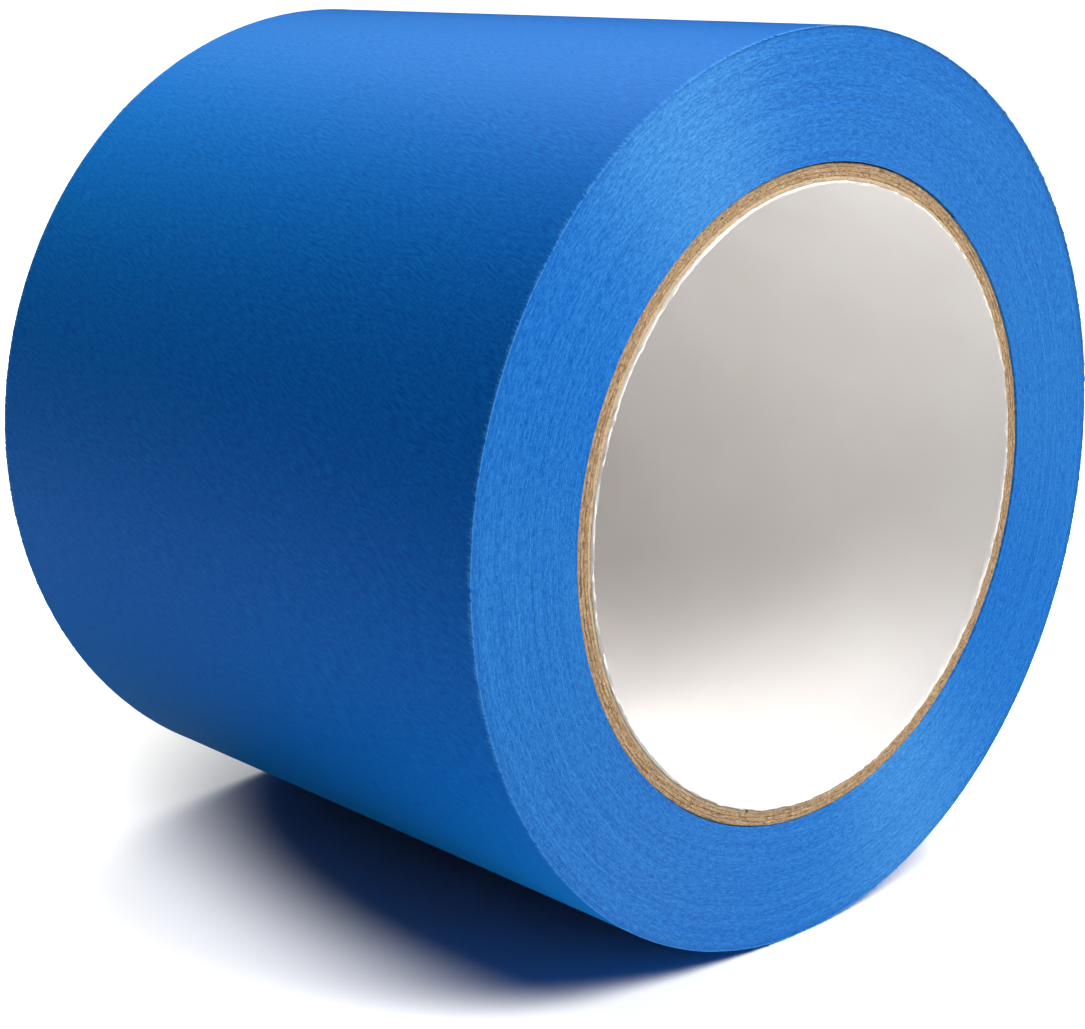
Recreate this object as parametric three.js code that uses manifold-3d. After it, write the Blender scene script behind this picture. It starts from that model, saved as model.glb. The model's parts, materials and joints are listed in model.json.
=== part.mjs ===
// A roll of wide blue painter's masking tape on a spiral-wound paperboard core.
//
// Frame, in millimetres: the roll's axis is Y, the origin is on that axis at mid-width, and +Z is up,
// so the roll lies on its curved side as it does on a bench. The front end faces -Y.
// Angles run from +X towards +Z, as seen from the front.

import * as THREE from "three";
import { mergeVertices } from "three/addons/utils/BufferGeometryUtils.js";
import Module from "manifold-3d";

const wasm = await Module();
wasm.setup();

// ---- Driving dimensions --------------------------------------------------------------------------

const tapeWidth = 94; // slit width of the tape, which is the roll's length along Y
const tapeThickness = 0.145; // crepe paper, its release coat and its adhesive
const rollRadius = 56.2; // out to the last turn, where the free end leaves it
const tapeInnerRadius = 40.5; // the first turn, on the core

const boreRadius = 38.1; // a 3 inch core
const linerThickness = 0.25; // white paper that lines the bore
const plyThickness = 0.5; // one strip of brown board
const glueLine = 0.03; // between one strip of the core and the next
const coreRecess = 0.3; // how far each end of the core sits inside the tape's edge
const coreLength = tapeWidth - 2 * coreRecess;

// Every round face has its corners at the same stations, so that one tube lies inside the next
// facet to facet. The half step puts the middle of a facet at the bottom, where the roll rests.
const stations = 72;
const stationAngle = (2 * Math.PI) / stations;
const angleAt = (station) => (station + 0.5) * stationAngle;

const linerStripWidth = 140; // strip widths set how steeply the butt seams wind
const plyStripWidth = 120;
const seamGap = 0.3;
const linerSeamStation = 32; // where the liner's seam starts, on the front end

const freeEndSections = ["tape_end_root", "tape_end_middle", "tape_end_tip"];
const facetsPerSection = 3;
const liftClearance = 0.02; // under the free end, so that it lies on the turn below without touching
const sectionGap = 0.05; // between one section of the free end and the next

const rootStation = 10; // where the free end leaves the roll, at the upper right seen from the front

// ---- Materials -----------------------------------------------------------------------------------

const material = (name, color, roughness) =>
  new THREE.MeshStandardMaterial({ name, color, roughness, metalness: 0 });

const crepePaper = material("blue_crepe_paper", 0x1f6fc4, 0.62);
const brownBoard = material("brown_board", 0xa98258, 0.9);
const whiteLiner = material("white_liner", 0xe4e2de, 0.55);

// ---- Solids --------------------------------------------------------------------------------------

function solidOf(geometry) {
  const bare = geometry.clone();
  bare.deleteAttribute("normal");
  bare.deleteAttribute("uv");
  const merged = mergeVertices(bare, 1e-4);
  return new wasm.Manifold(
    new wasm.Mesh({
      numProp: 3,
      vertProperties: new Float32Array(merged.attributes.position.array),
      triVerts: new Uint32Array(merged.index.array),
    }),
  );
}

function geometryOf(solid) {
  const { vertProperties, triVerts } = solid.getMesh();
  return new THREE.BufferGeometry()
    .setAttribute("position", new THREE.BufferAttribute(vertProperties, 3))
    .setIndex(new THREE.BufferAttribute(triVerts, 1))
    .toNonIndexed();
}

function meshOf(name, geometry, itsMaterial) {
  geometry.computeVertexNormals();
  const mesh = new THREE.Mesh(geometry, itsMaterial);
  mesh.name = name;
  return mesh;
}

// A point of the cross-section, which is drawn in the XZ plane.
const polar = (radius, angle) =>
  new THREE.Vector2(radius * Math.cos(angle), radius * Math.sin(angle));

// Extrudes a cross-section over the tape's width, centred on the origin.
function acrossTheTape(shape) {
  return new THREE.ExtrudeGeometry(shape, { depth: tapeWidth, bevelEnabled: false })
    .translate(0, 0, -tapeWidth / 2)
    .rotateX(Math.PI / 2);
}

// ---- Core ----------------------------------------------------------------------------------------

function tube(innerRadius, outerRadius, length) {
  const profile = [
    [innerRadius, -length / 2],
    [outerRadius, -length / 2],
    [outerRadius, length / 2],
    [innerRadius, length / 2],
    [innerRadius, -length / 2],
  ].map(([radius, y]) => new THREE.Vector2(radius, y));
  return new THREE.LatheGeometry(profile, stations, stationAngle / 2);
}

// The butt seam that a strip of this width leaves when it is wound at this radius: a thin wall that
// climbs along Y as it turns, from past the front end to past the rear end.
function seamCutter(innerRadius, outerRadius, stripWidth, startStation) {
  const overshoot = 0.2;
  const middleRadius = (innerRadius + outerRadius) / 2;
  const tilt = Math.asin(stripWidth / (2 * Math.PI * middleRadius));
  const climbPerStation = stripWidth / Math.cos(tilt) / stations;
  const steps = Math.ceil(coreLength / climbPerStation) + 2;
  const halfGap = seamGap / 2 / Math.cos(tilt);

  const corners = [];
  for (let i = 0; i <= steps; i += 1) {
    const angle = angleAt(startStation + i);
    const y = -coreLength / 2 + (i - 1) * climbPerStation;
    for (const [radius, shift] of [
      [innerRadius - overshoot, -halfGap],
      [outerRadius + overshoot, -halfGap],
      [outerRadius + overshoot, halfGap],
      [innerRadius - overshoot, halfGap],
    ]) {
      corners.push(radius * Math.cos(angle), y + shift, radius * Math.sin(angle));
    }
  }

  const faces = [0, 2, 1, 0, 3, 2];
  for (let i = 0; i < steps; i += 1) {
    for (let side = 0; side < 4; side += 1) {
      const a = 4 * i + side;
      const b = 4 * i + ((side + 1) % 4);
      faces.push(a, b, a + 4, b, b + 4, a + 4);
    }
  }
  const last = 4 * steps;
  faces.push(last, last + 1, last + 2, last, last + 2, last + 3);

  return new THREE.BufferGeometry()
    .setAttribute("position", new THREE.Float32BufferAttribute(corners, 3))
    .setIndex(faces);
}

// One strip of the core: a tube opened along its butt seam.
function coreStrip(name, innerRadius, thickness, stripWidth, startStation, itsMaterial) {
  const outerRadius = innerRadius + thickness;
  const whole = solidOf(tube(innerRadius, outerRadius, coreLength));
  const seam = solidOf(seamCutter(innerRadius, outerRadius, stripWidth, startStation));
  return meshOf(name, geometryOf(whole.subtract(seam)), itsMaterial);
}

// The white liner, then the brown plies outwards, each with its seam a quarter turn on from the last.
function core() {
  const group = new THREE.Group();
  group.add(
    coreStrip(
      "core_liner", boreRadius, linerThickness, linerStripWidth, linerSeamStation, whiteLiner,
    ),
  );
  let radius = boreRadius + linerThickness + glueLine;
  ["core_ply_inner", "core_ply_second", "core_ply_third", "core_ply_outer"].forEach((name, i) => {
    const seamStation = linerSeamStation + ((i + 1) * stations) / 4;
    group.add(coreStrip(name, radius, plyThickness, plyStripWidth, seamStation, brownBoard));
    radius += plyThickness + glueLine;
  });
  return group;
}

// ---- Tape ----------------------------------------------------------------------------------------

// The tape winds clockwise seen from the front, so a step onwards along it is a station back.
// Radius of the turn under the free end, this many stations on from the root.
const windingRadius = (stationsOn) =>
  rollRadius - tapeThickness + (tapeThickness * stationsOn) / stations;

// All the turns but the free end, which their adhesive makes one body: round inside, and one
// thickness of tape proud outside where the last turn stops at the root of the free end.
function woundTape() {
  const outline = [];
  for (let on = 0; on <= stations; on += 1) {
    outline.push(polar(windingRadius(on), angleAt(rootStation - on)));
  }
  const bore = [];
  for (let station = 0; station < stations; station += 1) {
    bore.push(polar(tapeInnerRadius, angleAt(station)));
  }
  const shape = new THREE.Shape(outline);
  shape.holes.push(new THREE.Path(bore));
  return meshOf("wound_tape", acrossTheTape(shape), crepePaper);
}

// One section of the free end, lying on the turn below.
function freeEndSection(name, index) {
  const inside = [];
  const outside = [];
  for (let facet = 0; facet <= facetsPerSection; facet += 1) {
    const on = index * facetsPerSection + facet;
    const angle = angleAt(rootStation - on) - (facet === 0 ? sectionGap / rollRadius : 0);
    const innerRadius = windingRadius(on) + liftClearance;
    inside.push(polar(innerRadius, angle));
    outside.push(polar(innerRadius + tapeThickness - liftClearance, angle));
  }
  const shape = new THREE.Shape([...outside, ...inside.reverse()]);
  return meshOf(name, acrossTheTape(shape), crepePaper);
}

// ---- The roll ------------------------------------------------------------------------------------

const roll = new THREE.Group();
roll.add(core());
roll.add(woundTape());
freeEndSections.forEach((name, index) => roll.add(freeEndSection(name, index)));

export default roll;
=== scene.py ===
"""A roll of wide blue painter's masking tape, lying on its curved side.

Metres, +Z up. The roll's axis is Y and its front end faces -Y. The tape winds clockwise seen from
the front. "Wrap" is the angle travelled clockwise along the tape's last turn, from 0 where the
free end leaves the roll, through a full turn back to the same place, and on along the free end.
"""

import json
import math

import bmesh
import bpy
import numpy as np
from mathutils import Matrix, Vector


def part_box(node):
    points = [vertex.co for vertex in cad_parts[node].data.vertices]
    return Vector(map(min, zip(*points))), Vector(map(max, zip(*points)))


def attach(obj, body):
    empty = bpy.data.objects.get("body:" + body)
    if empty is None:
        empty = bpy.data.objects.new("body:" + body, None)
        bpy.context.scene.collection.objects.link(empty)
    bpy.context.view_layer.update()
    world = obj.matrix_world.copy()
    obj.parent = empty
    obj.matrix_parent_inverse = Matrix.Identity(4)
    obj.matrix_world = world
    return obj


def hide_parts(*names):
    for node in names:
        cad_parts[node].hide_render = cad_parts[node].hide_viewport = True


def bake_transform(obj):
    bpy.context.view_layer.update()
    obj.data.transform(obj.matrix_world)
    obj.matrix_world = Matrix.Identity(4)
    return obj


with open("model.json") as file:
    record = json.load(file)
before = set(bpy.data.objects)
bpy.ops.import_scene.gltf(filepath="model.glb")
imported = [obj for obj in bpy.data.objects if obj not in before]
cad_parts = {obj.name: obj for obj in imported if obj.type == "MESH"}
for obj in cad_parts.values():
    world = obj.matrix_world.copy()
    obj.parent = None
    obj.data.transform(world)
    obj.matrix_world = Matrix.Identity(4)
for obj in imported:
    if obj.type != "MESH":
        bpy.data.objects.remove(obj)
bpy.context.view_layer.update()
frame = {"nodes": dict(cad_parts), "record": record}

MM = 0.001
TAU = 2 * math.pi

# ---- Dimensions that the frame gives ---------------------------------------------------------------


def corners(node):
    return np.array([v.co for v in frame["nodes"][node].data.vertices])


def radii(node):
    """A CAD node's nearest and furthest distance from the roll's axis."""
    points = corners(node)
    distance = np.hypot(points[:, 0], points[:, 2])
    return distance.min(), distance.max()


def hinge_angle(joint):
    place = next(j for j in frame["record"]["behaviour"]["joints"] if j["name"] == joint)["pos_m"]
    return math.atan2(place[2], place[0])


FIRST_TURN_RADIUS, ROLL_RADIUS = radii("wound_tape")
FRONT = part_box("wound_tape")[0][1]
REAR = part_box("wound_tape")[1][1]
WIDTH = REAR - FRONT
FLOOR_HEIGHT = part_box("wound_tape")[0][2]

ROOT_ANGLE = hinge_angle("peel_root")
MIDDLE_WRAP = TAU + ROOT_ANGLE - hinge_angle("peel_middle")
TIP_WRAP = TAU + ROOT_ANGLE - hinge_angle("peel_tip")
END_WRAP = 2 * TIP_WRAP - MIDDLE_WRAP

# ---- Dimensions of the real surfaces ---------------------------------------------------------------

TAPE_THICKNESS = 0.145 * MM
TURN_GAP = 0.01 * MM  # between the last turn and the one below it, so that they don't touch
TURNS = 106  # below the last one

CREPE_HEIGHT = 0.016 * MM
EDGE_ROUND = 0.1 * MM  # of the last turn's outer corners
EDGE_WANDER = 0.08 * MM  # of the slit edge, in and out
TUFT = 0.25 * MM  # of loose fibres here and there on the slit edge
OUTER_EDGE_PROUD = 0.04 * MM  # the last turn's edge stands this far past the end face

GROOVE_DEPTH = 0.035 * MM  # between one turn and the next, on the end faces
EDGE_LEAN = 0.015 * MM  # a turn's slit edge falls away by this much from its inner to outer face

TUCKED = math.radians(4)  # how far the last turn runs on under the place where it starts
HAND_OVER = math.radians(3)  # from there the free end's own pieces carry the tape on
LAST_TURN_COLUMN = 0.19 * MM  # spacing of the mesh along the tape
FREE_END_COLUMN = 0.15 * MM

LINER_STRIP = 140 * MM
PLY_STRIP = 120 * MM
SEAM_GAP = 0.14 * MM
LINER_SEAM_ANGLE = math.radians(162.5)
LINER_RAGGED = 0.24 * MM  # how unevenly the liner's ends are torn, along the axis
LINER_BENT = 0.1 * MM  # and towards or away from it
LINER_RIPPLE = 0.02 * MM
PLY_RAGGED = 0.1 * MM
LINER_PROUD = 0.31 * MM  # the liner's torn edge stands this far past the brown board

FLOOR_SIZE = 40
FLOOR_GAP = 0.02 * MM  # between the roll and the floor

CAMERA_PLACE = Vector((-202.2, -213.5, 64.6)) * MM
CAMERA_YAW = math.radians(-43.2)
CAMERA_PITCH = math.radians(-14.3)
CAMERA_LENS = 73.63  # mm, for a sensor 36 mm wide

# ---- Noise, the same on every run ------------------------------------------------------------------


def scattered(seed, *cells):
    """A number from -1 to 1 for each lattice cell."""
    mask = np.uint64(0xFFFFFFFF)
    value = np.full(np.broadcast(*cells).shape, seed * 7919 + 17, dtype=np.uint64)
    for cell in cells:
        value ^= cell.astype(np.int64).astype(np.uint64) & mask
        value = (value * np.uint64(0x9E3779B1)) & mask
        value ^= value >> np.uint64(15)
        value = (value * np.uint64(0x85EBCA77)) & mask
        value ^= value >> np.uint64(13)
    return value.astype(float) / float(0xFFFFFFFF) * 2 - 1


def noise(seed, x, y=0.0, period=None):
    """Smooth noise from -1 to 1 with one cell per unit. It repeats every period cells along x."""
    x, y = np.broadcast_arrays(np.asarray(x, float), np.asarray(y, float))
    left, low = np.floor(x), np.floor(y)
    across, up = x - left, y - low
    across = across * across * (3 - 2 * across)
    up = up * up * (3 - 2 * up)

    def cell(right, above):
        column = left + right
        if period:
            column = np.mod(column, period)
        return scattered(seed, column, low + above)

    bottom = cell(0, 0) * (1 - across) + cell(1, 0) * across
    top = cell(0, 1) * (1 - across) + cell(1, 1) * across
    return bottom * (1 - up) + top * up


# ---- Mesh building ---------------------------------------------------------------------------------


def polar(radius, angle, along):
    """Points at a radius and an angle from the roll's axis, at a place along it."""
    radius, angle, along = np.broadcast_arrays(radius, angle, along)
    return np.stack([radius * np.cos(angle), along, radius * np.sin(angle)], axis=-1)


def swept(name, loops, caps, uv=None):
    """A mesh from a closed loop of points in each column. loops is columns x points x 3.

    caps are lists of (column, point) pairs, each a face across an end of the sweep.
    uv is columns x (points + 1) x 2, so that the loop's last face has its own end.
    """
    columns, points, _ = loops.shape
    column, point = np.meshgrid(np.arange(columns - 1), np.arange(points), indexing="ij")
    beside = (point + 1) % points
    quads = np.stack(
        [
            column * points + point,
            (column + 1) * points + point,
            (column + 1) * points + beside,
            column * points + beside,
        ],
        axis=-1,
    ).reshape(-1, 4)
    faces = [list(map(int, q)) for q in quads]
    faces += [[int(c) * points + int(p) for c, p in cap] for cap in caps]

    mesh = bpy.data.meshes.new(name)
    mesh.from_pydata(loops.reshape(-1, 3), [], faces)
    if uv is not None:
        layer = mesh.uv_layers.new(name="tape")
        on_quads = np.stack(
            [
                uv[column, point],
                uv[column + 1, point],
                uv[column + 1, point + 1],
                uv[column, point + 1],
            ],
            axis=-2,
        ).reshape(-1, 2)
        on_caps = [uv[c, p] for cap in caps for c, p in cap]
        values = np.vstack([on_quads, np.array(on_caps).reshape(-1, 2)])
        layer.data.foreach_set("uv", values.astype(np.float32).ravel())
    mesh.validate()
    thing = bpy.data.objects.new(name, mesh)
    bpy.context.scene.collection.objects.link(thing)
    return thing


def weld(thing, distance=0.0005 * MM):
    """Joins corners in the same place and turns every face outwards."""
    whole = bmesh.new()
    whole.from_mesh(thing.data)
    bmesh.ops.remove_doubles(whole, verts=whole.verts, dist=distance)
    bmesh.ops.recalc_face_normals(whole, faces=whole.faces)
    whole.to_mesh(thing.data)
    whole.free()


def smooth(thing, sharper_than=50):
    thing.data.polygons.foreach_set("use_smooth", [True] * len(thing.data.polygons))
    thing.data.set_sharp_from_angle(angle=math.radians(sharper_than))
    return thing


# ---- Wound tape ------------------------------------------------------------------------------------


def surface_radius(wrap):
    """Outer radius of the last turn, which climbs by one thickness of tape in a turn."""
    return ROLL_RADIUS - TAPE_THICKNESS + TAPE_THICKNESS * wrap / TAU


def edge_depth(turn, angle, seed):
    """How far the tape's edge lies below the end face, at a turn number along the spiral."""
    mean = 0.045
    drift = 0.030 * noise(seed, turn / 7.0) + 0.022 * noise(seed + 1, turn / 2.4)
    turn_by_turn = 0.012 * noise(seed + 2, turn / 0.45)
    patches = 0.5 + 0.5 * noise(seed + 3, angle / TAU * 9, turn / 12, period=9)
    left = TURNS - turn
    below_outer_edge = 0.055 * np.exp(-((left / 4.5) ** 2))
    return (mean + drift * (0.5 + patches) + turn_by_turn + below_outer_edge) * MM


def wound_turns():
    """Every turn but the last, as one body with a spiral on each end face."""
    columns = 150
    rows_per_turn = 3
    shares = np.array([0.0, 0.28, 0.74])
    inner = FIRST_TURN_RADIUS
    outer = ROLL_RADIUS - 2 * TAPE_THICKNESS
    pitch = (outer - inner) / TURNS

    rows = TURNS * rows_per_turn + 1
    turn = np.arange(rows) // rows_per_turn
    share = shares[np.arange(rows) % rows_per_turn]
    wrap = np.linspace(0, TAU, columns + 1)[:, None]
    angle = ROOT_ANGLE - wrap
    radius = inner + pitch * (turn + share + wrap / TAU)
    place = turn + wrap / TAU
    groove = share == 0

    def face(seed):
        here = edge_depth(place, angle, seed)
        before = edge_depth(place - 1, angle, seed)
        return np.where(groove, (here + before) / 2 + GROOVE_DEPTH, here + share * EDGE_LEAN)

    front = polar(radius, angle, FRONT + face(11))
    rear = polar(radius, angle, REAR - face(41))
    loops = np.concatenate([front, rear[:, ::-1]], axis=1)
    first = [(0, row) for row in range(rows_per_turn + 1)]
    first += [(0, 2 * rows - 1 - row) for row in range(rows_per_turn, -1, -1)]
    final = [(columns, row) for row in range(rows - 1 - rows_per_turn, rows)]
    final += [(columns, 2 * rows - 1 - row) for _, row in reversed(final)]
    body = swept("wound_turns", loops, [first, final])
    weld(body)
    smooth(body, 60)
    return body


def crepe(along, across):
    """Height of the crepe paper, from about -1 to 1, at places in mm along and across the tape."""
    place = along - 0.3 * across + 1.2 * noise(3, across / 7, along / 9)
    fine = 1 - 2 * np.abs(noise(5, place / 0.75, across / 3.2))
    finer = noise(6, place / 0.45, across / 2.6)
    broad = noise(7, along / 2.1, across / 4)
    patches = 0.6 + 0.4 * noise(8, along / 4, across / 5)
    return (0.5 * fine + 0.5 * finer) * patches + 0.4 * broad


def tape_sheet(name, wrap_start, wrap_end, column_width, row_count):
    """A length of the last turn, from one edge of the tape to the other."""
    columns = round((wrap_end - wrap_start) * ROLL_RADIUS / column_width)
    wrap = np.linspace(wrap_start, wrap_end, columns + 1)[:, None]
    angle = ROOT_ANGLE - wrap
    along = wrap * ROLL_RADIUS / MM
    top = surface_radius(wrap)
    thickness = TAPE_THICKNESS - TURN_GAP

    def outer_face(across):
        curl = 0.25 * EDGE_ROUND * np.exp(-np.minimum(across - FRONT, REAR - across) / (0.3 * MM))
        return top + CREPE_HEIGHT * (crepe(along, across / MM) - 1) + curl

    # Rows crowd together towards the two edges, where the paper curls.
    inset = EDGE_ROUND + np.array([0, 0.1, 0.3, 0.8]) * MM
    low, high = FRONT + inset, REAR - inset[::-1]
    middle = np.linspace(low[-1], high[0], row_count + 1)[1:-1]
    across = np.concatenate([low, middle, high])[None, :]
    surface = polar(outer_face(across), angle, across)

    def edge(side, seed):
        """Points round one edge of the tape, from its rounded outer corner to its underside."""
        wander = noise(seed, along / 0.6) + 0.6 * noise(seed + 1, along / 0.21)
        tuft = np.clip(noise(seed + 2, along / 0.33) - 0.35, 0, None) * TUFT
        worn = 0.55 + 0.45 * noise(seed + 3, along / 23)
        out = OUTER_EDGE_PROUD / 2 + worn * (EDGE_WANDER * wander / 1.6 + tuft)
        end = (FRONT if side < 0 else REAR) + side * out
        rim = outer_face(across[:, :1] if side < 0 else across[:, -1:])
        # How far each point lies in from the slit edge, and below the outer face.
        profile = [
            (0.45 * EDGE_ROUND, 0.12 * EDGE_ROUND),
            (0.12 * EDGE_ROUND, 0.45 * EDGE_ROUND),
            (0.0, EDGE_ROUND),
            (0.0, 0.9 * thickness),
            (0.1 * thickness, thickness),
        ]
        return [polar(rim - drop, angle, end - side * inwards)[:, 0] for inwards, drop in profile]

    rear_edge = edge(1, 61)
    front_edge = edge(-1, 71)[::-1]
    loops = np.concatenate([surface, np.stack(rear_edge + front_edge, axis=1)], axis=1)

    points = loops.shape[1]
    on_edge = len(rear_edge)
    places = np.concatenate([across[0], [REAR] * on_edge, [FRONT] * (on_edge + 1)]) / MM
    uv = np.stack(np.broadcast_arrays(along, places[None, :]), axis=-1)
    caps = [[(0, p) for p in range(points)], [(columns, p) for p in reversed(range(points))]]
    sheet = swept(name, loops, caps, uv)
    # The underside is the one long face between the two edges' last points.
    underside = np.zeros(len(sheet.data.polygons), int)
    underside[: columns * points].reshape(columns, points)[:, across.size + on_edge - 1] = 1
    sheet.data.materials.append(MATERIALS["crepe"])
    sheet.data.materials.append(MATERIALS["adhesive"])
    sheet.data.polygons.foreach_set("material_index", underside)
    weld(sheet)
    smooth(sheet)
    return sheet


# ---- Core ------------------------------------------------------------------------------------------


def strip_angles(radius, strip, start_angle, along, columns):
    """Angles of a wound strip's columns, which lean with its butt seam. Rows follow along."""
    tilt = math.asin(strip / (TAU * radius))
    turn_per_metre = TAU * math.cos(tilt) / strip
    gap = SEAM_GAP / math.cos(tilt) * turn_per_metre
    seam = start_angle + (along - along.min()) * turn_per_metre
    share = np.linspace(0, 1, columns + 1)
    return seam[None, :] + gap / 2 + share[:, None] * (TAU - gap)


def core_strip(
    name, node, strip, seam_angle, seed, columns, end_rows, along, ragged, proud, ripple, lip
):
    """One strip of the core: a tube opened along its helical seam, with torn or sawn ends.

    proud is how far the ends stand past the CAD's, and ripple how uneven the walls are. ragged is how
    unevenly the ends are torn along the axis, and lip how unevenly across it.
    """
    inner, outer = radii(node)
    front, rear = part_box(node)[0][1] - proud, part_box(node)[1][1] + proud
    length = rear - front
    along = front + along * length
    middle = (inner + outer) / 2

    def wall(radius):
        angle = strip_angles(middle, strip, seam_angle, along, columns)
        place = np.broadcast_to(along[None, :], angle.shape)
        bumps = ripple * noise(seed + 9, np.mod(angle, TAU) / TAU * 24, place / (9 * MM), period=24)
        return polar(radius + bumps, angle, place)

    def end(side):
        """Radial rows across one end, from the inner wall to the outer."""
        edge = along[:1] if side < 0 else along[-1:]
        angle = strip_angles(middle, strip, seam_angle, along, columns)
        angle = angle[:, :1] if side < 0 else angle[:, -1:]
        share = np.linspace(0, 1, end_rows + 1)[1:-1][None, :]
        turn = np.mod(angle, TAU) / TAU
        rough = noise(seed + 1, turn * 500, share * 5, period=500)
        rough = 0.6 * rough + 0.5 * noise(seed + 2, turn * 140, share * 3, period=140)
        return polar(inner + share * (outer - inner), angle, edge[0] - side * ragged * rough)

    def torn(loop_wall, side):
        """Moves a wall's last row in and out along the axis."""
        angle = np.arctan2(loop_wall[:, 2], loop_wall[:, 0])
        turn = np.mod(angle, TAU) / TAU
        tear = 0.55 * noise(seed + 3, turn * 260, 0.5, period=260)
        tear += 0.35 * noise(seed + 4, turn * 700, 0.5, period=700)
        tear += 0.4 * noise(seed + 5, turn * 60, 0.5, period=60)
        loop_wall[:, 1] -= side * ragged * (0.6 + tear)
        bent = 1 + lip * noise(seed + 6, turn * 190, 0.5, period=190) / radii(node)[0]
        loop_wall[:, [0, 2]] *= bent[:, None]

    inner_wall, outer_wall = wall(inner), wall(outer)
    for its_wall in (inner_wall, outer_wall):
        torn(its_wall[:, 0], -1)
        torn(its_wall[:, -1], 1)
    front_end, rear_end = end(-1), end(1)
    loops = np.concatenate(
        [inner_wall, rear_end, outer_wall[:, ::-1], front_end[:, ::-1]], axis=1
    )
    # The seam winds round the core, so the strip's long edges are closed one pair of rows at a time.
    points, last, beyond = loops.shape[1], len(along) - 1, end_rows - 1
    opposite = points - 1 - beyond
    faces = [[row, row + 1, opposite - row - 1, opposite - row] for row in range(1, last - 1)]
    faces.append([0, 1, opposite - 1, *range(opposite, points)])
    faces.append(list(range(last - 1, last + beyond + 3)))
    caps = [[(column, p) for p in face] for column in (0, columns) for face in faces]
    part = swept(name, loops, caps)
    weld(part)
    smooth(part, 55)
    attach(part, "roll")
    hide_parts(node)
    return part


# ---- Materials -------------------------------------------------------------------------------------


class Shader:
    """A material's node tree, built up by short calls."""

    def __init__(self, name):
        self.material = bpy.data.materials.new(name)
        self.material.use_nodes = True
        self.tree = self.material.node_tree
        self.tree.nodes.clear()

    def node(self, kind, inputs=None, **settings):
        made = self.tree.nodes.new("ShaderNode" + kind)
        for name, value in settings.items():
            setattr(made, name, value)
        for name, value in (inputs or {}).items():
            self.feed(made.inputs[name], value)
        return made

    def feed(self, socket, value):
        if isinstance(value, bpy.types.NodeSocket):
            self.tree.links.new(value, socket)
        elif isinstance(value, tuple) and len(value) == 3 and socket.type == "RGBA":
            socket.default_value = (*value, 1)
        else:
            socket.default_value = value

    def maths(self, operation, a, b=0.0):
        return self.node("Math", {0: a, 1: b}, operation=operation).outputs[0]

    def plus(self, a, b):
        return self.maths("ADD", a, b)

    def times(self, a, b):
        return self.maths("MULTIPLY", a, b)

    def spread(self, value, low, high, to_low=0.0, to_high=1.0, curve="LINEAR"):
        """value taken from low..high to to_low..to_high, and held at those limits."""
        return self.node(
            "MapRange",
            {"Value": value, "From Min": low, "From Max": high, "To Min": to_low, "To Max": to_high},
            interpolation_type=curve,
        ).outputs["Result"]

    def vector(self, x, y, z=0.0):
        return self.node("CombineXYZ", {"X": x, "Y": y, "Z": z}).outputs["Vector"]

    def noise(self, place, scale, detail=2.0, roughness=0.5, distortion=0.0):
        inputs = {
            "Vector": place,
            "Scale": scale,
            "Detail": detail,
            "Roughness": roughness,
            "Distortion": distortion,
        }
        return self.node("TexNoise", inputs).outputs["Fac"]

    def blend(self, share, low, high):
        inputs = {0: share, 6: low, 7: high}
        return self.node("Mix", inputs, data_type="RGBA").outputs[2]

    def bump(self, height, distance, strength=1.0, normal=None):
        inputs = {"Height": height, "Distance": distance, "Strength": strength}
        if normal is not None:
            inputs["Normal"] = normal
        return self.node("Bump", inputs).outputs["Normal"]

    def finish(self, **inputs):
        names = {key.replace("_", " "): value for key, value in inputs.items()}
        shader = self.node("BsdfPrincipled", names)
        output = self.node("OutputMaterial")
        self.tree.links.new(shader.outputs["BSDF"], output.inputs["Surface"])
        return self.material


DEEP_BLUE = (0.0, 0.058, 0.425)
PALE_BLUE = (0.004, 0.158, 0.635)
EVEN_BLUE = (0.0, 0.106, 0.530)
FIBRE_BLUE_AND_PAINTED_HIGHLIGHT = (0.055, 0.255, 0.680)  # paler fibres along the slit edge, partly a painted highlight on the edge
EDGE_DEEP_BLUE = (0.0, 0.090, 0.400)
EDGE_PALE_BLUE = (0.022, 0.208, 0.600)
EDGE_RIM_PAINTED_SHADE = (0.0, 0.075, 0.330)
ADHESIVE_DEEP_BLUE = (0.012, 0.155, 0.480)
ADHESIVE_PALE_BLUE = (0.045, 0.245, 0.600)
BOARD_DARK = (0.155, 0.092, 0.043)
BOARD_PALE = (0.545, 0.385, 0.235)
BOARD_BLOTCH = (0.300, 0.180, 0.090)
BOARD_CREAM = (0.680, 0.560, 0.400)  # tints the ply next to the liner
BOARD_SPECK = (0.085, 0.048, 0.025)
LINER_GREY = (0.815, 0.785, 0.770)
LINER_WHITE = (0.850, 0.830, 0.815)
FLOOR_WHITE = (0.9, 0.895, 0.86)


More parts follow.
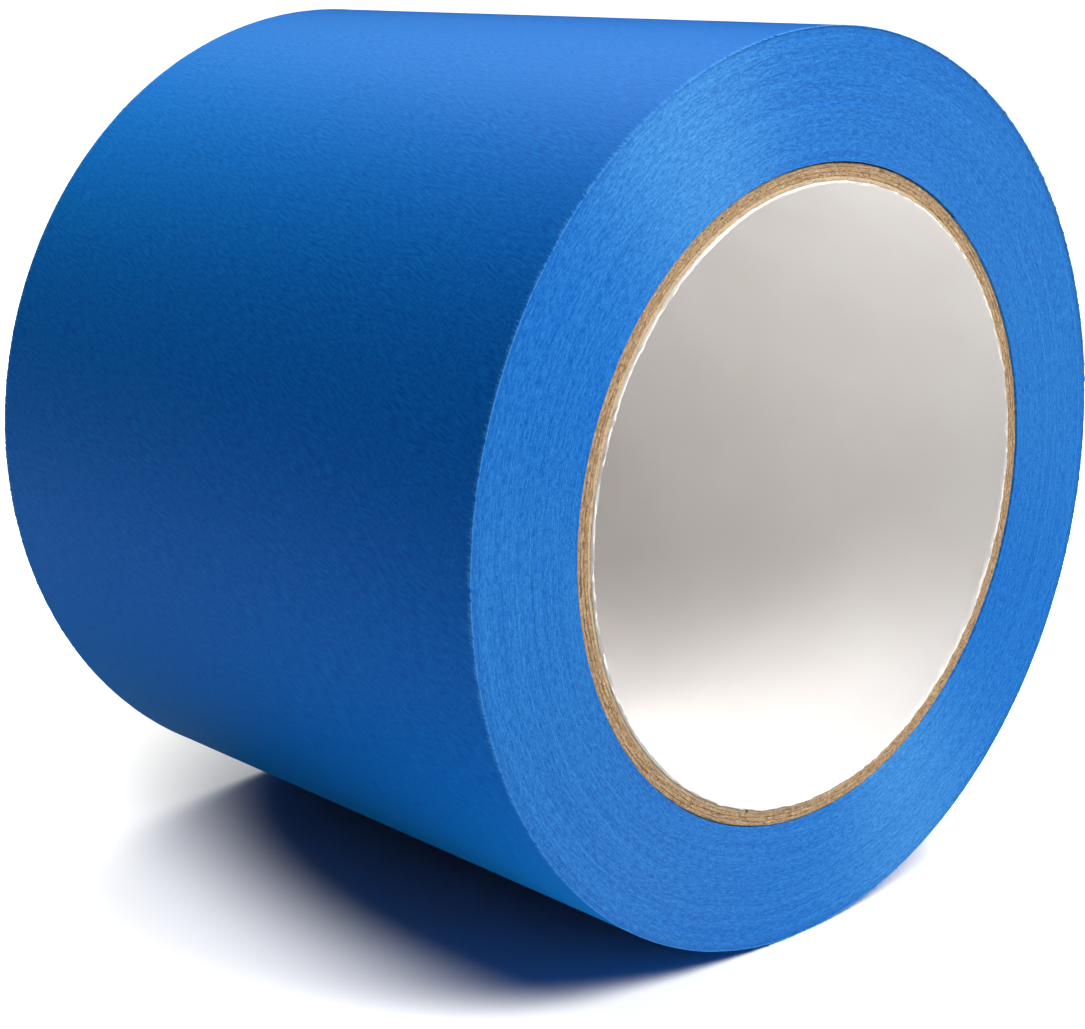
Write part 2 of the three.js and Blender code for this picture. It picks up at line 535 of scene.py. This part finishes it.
def crepe_material():
    """The tape's outer face: creped blue paper under a thin release coat."""
    s = Shader("crepe_paper")
    place = s.node("SeparateXYZ", {"Vector": s.node("UVMap", uv_map="tape").outputs["UV"]})
    along, across = place.outputs["X"], place.outputs["Y"]
    drift = s.noise(s.vector(along, across), 0.12, 1.0)
    leaning = s.plus(s.plus(along, s.times(across, -0.3)), s.times(drift, 2.5))
    ticks = s.noise(s.vector(s.times(leaning, 3.0), s.times(across, 0.6)), 1.0, 1.5, 0.5)
    fibres = s.noise(s.vector(along, across), 2.4, 3.0, 0.65)
    clouds = s.noise(s.vector(along, across), 0.13, 3.0, 0.55)
    share = s.spread(clouds, 0.42, 0.6, 0.25, 0.8)
    tone = s.plus(fibres, s.times(share, s.maths("SUBTRACT", ticks, fibres)))
    colour = s.blend(s.spread(tone, 0.33, 0.67), DEEP_BLUE, PALE_BLUE)
    colour = s.blend(s.spread(clouds, 0.35, 0.75, 0.0, 0.3), colour, EVEN_BLUE)
    hairs = s.noise(s.vector(s.times(leaning, 4.0), s.times(across, 0.5)), 1.0, 1.0)
    inwards = s.maths("SUBTRACT", WIDTH / 2 / MM, s.maths("ABSOLUTE", across))
    ragged = s.plus(inwards, s.times(s.plus(hairs, -0.5), -2.4))
    # Paler blue within half a millimetre of each slit edge: partly the paper's loose fibres, partly a
    # painted highlight along the tape's edge.
    colour = s.blend(s.spread(ragged, 0.0, 0.45, 0.85, 0.0), colour, FIBRE_BLUE_AND_PAINTED_HIGHLIGHT)
    return s.finish(
        Base_Color=colour,
        Roughness=s.spread(fibres, 0.3, 0.7, 0.5, 0.62),
        Specular_IOR_Level=0.07,
        Specular_Tint=(0.15, 0.85, 1.0),
        Sheen_Weight=0.7,
        Sheen_Roughness=0.45,
        Sheen_Tint=(0.02, 0.46, 1.0),
        Normal=s.bump(tone, 0.05 * MM, 0.9),
    )


HALFWAY_OUT = 48.0  # mm from the roll's axis


def polar_place(s):
    """Distance from the roll's axis, and arc length halfway out on the end face, both in mm."""
    place = s.node("SeparateXYZ", {"Vector": s.node("TexCoord").outputs["Object"]})
    x, z = place.outputs["X"], place.outputs["Z"]
    squared = s.plus(s.times(x, x), s.times(z, z))
    radius = s.maths("DIVIDE", s.maths("SQRT", squared), MM)
    arc = s.times(s.maths("ARCTAN2", z, x), HALFWAY_OUT)
    return radius, arc


def tape_edge_material():
    """The end faces: the slit edges of every turn, with their adhesive."""
    s = Shader("tape_edges")
    radius, arc = polar_place(s)
    streaks = s.noise(s.vector(s.times(radius, 4.2), s.times(arc, 0.9)), 1.0, 2.5, 0.6, 0.25)
    rings = s.noise(s.vector(s.times(radius, 1.6), s.times(arc, 0.03)), 1.0, 3.0, 0.7)
    specks = s.noise(s.vector(radius, arc), 3.6, 2.0, 0.6)
    tone = s.plus(s.plus(s.times(streaks, 0.5), s.times(rings, 0.2)), s.times(specks, 0.3))
    colour = s.blend(s.spread(tone, 0.43, 0.68), EDGE_DEEP_BLUE, EDGE_PALE_BLUE)
    # Painted shade: the outermost 1.3 mm of the end face is darkened, where the turns lie recessed
    # behind the last turn's proud edge.
    rim_shade_start = s.plus(s.times(streaks, 0.6), ROLL_RADIUS / MM - 1.3)
    rim = s.times(s.spread(s.maths("SUBTRACT", radius, rim_shade_start), 0.0, 0.5), 0.35)
    colour = s.blend(rim, colour, EDGE_RIM_PAINTED_SHADE)
    return s.finish(
        Base_Color=colour,
        Roughness=s.spread(streaks, 0.3, 0.7, 0.50, 0.62),
        Specular_IOR_Level=s.spread(tone, 0.42, 0.64, 0.45, 0.95),
        Specular_Tint=(0.35, 1.0, 1.0),
        Anisotropic=0.85,
        Anisotropic_Rotation=0.25,
        Tangent=s.node("Tangent", direction_type="RADIAL", axis="Y").outputs["Tangent"],
        Normal=s.bump(tone, 0.07 * MM, 0.8),
    )


def adhesive_material():
    """The underside: the blue paper seen through its tacky coat."""
    s = Shader("adhesive")
    place = s.node("SeparateXYZ", {"Vector": s.node("UVMap", uv_map="tape").outputs["UV"]})
    along, across = place.outputs["X"], place.outputs["Y"]
    pleats = s.noise(s.vector(s.times(along, 2.5), s.times(across, 0.7)), 1.0, 2.0)
    blotches = s.noise(s.vector(along, across), 0.5, 3.0, 0.6)
    tone = s.plus(s.times(pleats, 0.4), s.times(blotches, 0.6))
    colour = s.blend(s.spread(tone, 0.38, 0.62), ADHESIVE_DEEP_BLUE, ADHESIVE_PALE_BLUE)
    return s.finish(
        Base_Color=colour,
        Roughness=s.spread(blotches, 0.35, 0.65, 0.25, 0.4),
        Specular_IOR_Level=0.4,
        Normal=s.bump(pleats, 0.02 * MM, 0.7),
    )


def board_material(seed, paleness):
    """Brown paperboard: pressed fibres with dark specks, sawn across at the ends."""
    s = Shader("brown_board")
    radius, arc = polar_place(s)
    grain = s.noise(s.vector(s.times(radius, 3.6), s.times(arc, 1.1), seed), 1.0, 3.0, 0.6, 0.8)
    tufts = s.noise(s.vector(s.times(radius, 3.0), s.times(arc, 2.2), seed + 2.0), 1.0, 3.0, 0.6)
    blotches = s.noise(s.vector(s.times(radius, 1.4), s.times(arc, 0.4), seed), 1.0, 2.0)
    specks = s.noise(s.vector(s.times(radius, 3.2), s.times(arc, 1.8), seed + 5.0), 1.0, 2.0)
    tone = s.plus(s.times(grain, 0.6), s.times(tufts, 0.4))
    colour = s.blend(s.spread(tone, 0.36, 0.64), BOARD_DARK, BOARD_PALE)
    colour = s.blend(s.spread(blotches, 0.42, 0.62, 0.0, 0.55), colour, BOARD_BLOTCH)
    colour = s.blend(paleness, colour, BOARD_CREAM)
    colour = s.blend(s.spread(specks, 0.62, 0.70, 0.0, 0.8), colour, BOARD_SPECK)
    return s.finish(
        Base_Color=colour,
        Roughness=0.9,
        Specular_IOR_Level=0.15,
        Normal=s.bump(tone, 0.12 * MM, 0.9),
    )


def liner_material():
    """The white liner: smooth calendered paper."""
    s = Shader("white_liner")
    place = s.node("TexCoord").outputs["Object"]
    fibres = s.noise(place, 900.0, 4.0, 0.6)
    clouds = s.noise(place, 60.0, 2.0, 0.5)
    colour = s.blend(s.spread(clouds, 0.3, 0.7), LINER_GREY, LINER_WHITE)
    return s.finish(
        Base_Color=colour,
        Roughness=s.spread(fibres, 0.3, 0.7, 0.48, 0.58),
        Specular_IOR_Level=0.35,
        Normal=s.bump(fibres, 0.01 * MM, 0.35),
    )


def floor_material():
    """A white sweep with a painted glow that only the camera sees, overexposed everywhere but in the
    roll's own shadow.
    """
    s = Shader("pale_floor")
    place = s.node("SeparateXYZ", {"Vector": s.node("TexCoord").outputs["Object"]})
    # The painted glow starts at an ellipse round the shadow, twice as long along the roll as across it,
    # and its ramp paints the shadow's soft outer edge.
    aside = s.plus(place.outputs["X"], 0.002)
    onwards = s.times(s.plus(place.outputs["Y"], 0.018), 0.5)
    away = s.maths("SQRT", s.plus(s.times(aside, aside), s.times(onwards, onwards)))
    shadow_edge_glow = s.spread(away, 0.033, 0.058, 0.0, 0.85, curve="SMOOTHSTEP")
    far = s.spread(away, 0.050, 0.110, 0.0, 0.35, curve="SMOOTHSTEP")
    seen = s.node("LightPath").outputs["Is Camera Ray"]
    return s.finish(
        Base_Color=FLOOR_WHITE,
        Roughness=0.9,
        Specular_IOR_Level=0.0,
        Emission_Color=(1.0, 1.0, 1.0),
        Emission_Strength=s.times(seen, s.plus(shadow_edge_glow, far)),
    )


MATERIALS = {
    "crepe": crepe_material(),
    "adhesive": adhesive_material(),
    "edges": tape_edge_material(),
    "liner": liner_material(),
    "floor": floor_material(),
}


# ---- The roll --------------------------------------------------------------------------------------


def build_wound_tape():
    body = wound_turns()
    body.data.materials.append(MATERIALS["edges"])
    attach(body, "roll")
    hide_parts("wound_tape")

    last = tape_sheet("last_turn", -TUCKED, TAU - HAND_OVER, LAST_TURN_COLUMN, 36)
    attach(last, "roll")


def build_free_end():
    """The free end in three lengths, each around one hinge's place and meeting the next at mid-section.
    """
    section = MIDDLE_WRAP - TAU
    cuts = [
        TAU - HAND_OVER,
        TAU + section / 2,
        MIDDLE_WRAP + section / 2,
        END_WRAP,
    ]
    hinges = [TAU, MIDDLE_WRAP, TIP_WRAP]
    nodes = ["tape_end_root", "tape_end_middle", "tape_end_tip"]
    names = ["free_end_at_the_roll", "free_end_length", "free_end_tip_length"]
    for i, name in enumerate(names):
        part = tape_sheet(name, cuts[i], cuts[i + 1], FREE_END_COLUMN, 40)
        angle = ROOT_ANGLE - hinges[i]
        hinge = Vector(polar(ROLL_RADIUS, angle, 0.0))
        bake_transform(part)
        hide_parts(nodes[i])


def build_core():
    # Enough rows that the leaning columns follow the round wall between them, with the first and
    # last close to the ends so that the torn edges stay local.
    rows = np.concatenate([[0, 0.007], np.linspace(0.014, 0.986, 57), [0.993, 1]])
    liner = core_strip(
        "liner", "core_liner", LINER_STRIP, LINER_SEAM_ANGLE, 100, 720, 3, rows,
        ragged=LINER_RAGGED, proud=LINER_PROUD, ripple=LINER_RIPPLE, lip=LINER_BENT,
    )
    liner.data.materials.append(MATERIALS["liner"])

    for i, which in enumerate(["inner", "second", "third", "outer"]):
        ply = core_strip(
            f"{which}_ply", f"core_ply_{which}", PLY_STRIP,
            LINER_SEAM_ANGLE + (i + 1) * TAU / 4, 200 + 20 * i, 640, 6, rows,
            ragged=PLY_RAGGED, proud=0, ripple=0, lip=0,
        )
        ply.data.materials.append(board_material(3.0 * i, 0.4 if which == "inner" else 0.0))


build_wound_tape()
build_free_end()
build_core()

# ---- Studio ----------------------------------------------------------------------------------------


def build_floor():
    bpy.ops.mesh.primitive_plane_add(size=FLOOR_SIZE, location=(0, 0, FLOOR_HEIGHT - FLOOR_GAP))
    floor = bpy.context.object
    floor.name = "floor"
    floor.data.materials.append(MATERIALS["floor"])


def softbox(name, azimuth, elevation, size, power):
    """A square light a metre from the roll. Azimuth 0 is in front of the front end, 90 to its right."""
    light = bpy.data.lights.new(name, "AREA")
    light.size = size
    light.energy = power
    lamp = bpy.data.objects.new(name, light)
    turn, rise = math.radians(azimuth), math.radians(elevation)
    lamp.location = (
        math.sin(turn) * math.cos(rise), -math.cos(turn) * math.cos(rise), math.sin(rise)
    )
    lamp.rotation_euler = (-lamp.location).to_track_quat("-Z", "Y").to_euler()
    bpy.context.scene.collection.objects.link(lamp)


def build_lights():
    softbox("key", azimuth=22, elevation=49.5, size=0.55, power=15.4)
    softbox("back", azimuth=148, elevation=50, size=0.55, power=5.4)


def build_world():
    world = bpy.data.worlds.new("studio")
    bpy.context.scene.world = world
    world.use_nodes = True
    tree = world.node_tree
    tree.nodes.clear()
    ambient = tree.nodes.new("ShaderNodeBackground")
    ambient.inputs["Strength"].default_value = 0.02
    backdrop = tree.nodes.new("ShaderNodeBackground")
    backdrop.inputs["Color"].default_value = (1, 1, 1, 1)
    backdrop.inputs["Strength"].default_value = 1.0
    path = tree.nodes.new("ShaderNodeLightPath")
    mix = tree.nodes.new("ShaderNodeMixShader")
    output = tree.nodes.new("ShaderNodeOutputWorld")
    tree.links.new(path.outputs["Is Camera Ray"], mix.inputs["Fac"])
    tree.links.new(ambient.outputs[0], mix.inputs[1])
    tree.links.new(backdrop.outputs[0], mix.inputs[2])
    tree.links.new(mix.outputs[0], output.inputs["Surface"])


def build_camera():
    camera = bpy.data.cameras.new("camera")
    camera.lens = CAMERA_LENS
    camera.sensor_width = 36
    camera.clip_start = 0.01
    camera.clip_end = 50
    view = bpy.data.objects.new("camera", camera)
    view.location = CAMERA_PLACE
    yaw, pitch = CAMERA_YAW, CAMERA_PITCH
    forwards = Vector(
        (-math.sin(yaw) * math.cos(pitch), math.cos(yaw) * math.cos(pitch), math.sin(pitch))
    )
    view.rotation_euler = forwards.to_track_quat("-Z", "Y").to_euler()
    bpy.context.scene.collection.objects.link(view)
    bpy.context.scene.camera = view


build_floor()
build_lights()
build_world()
build_camera()
bpy.context.scene.view_settings.view_transform = "Standard"
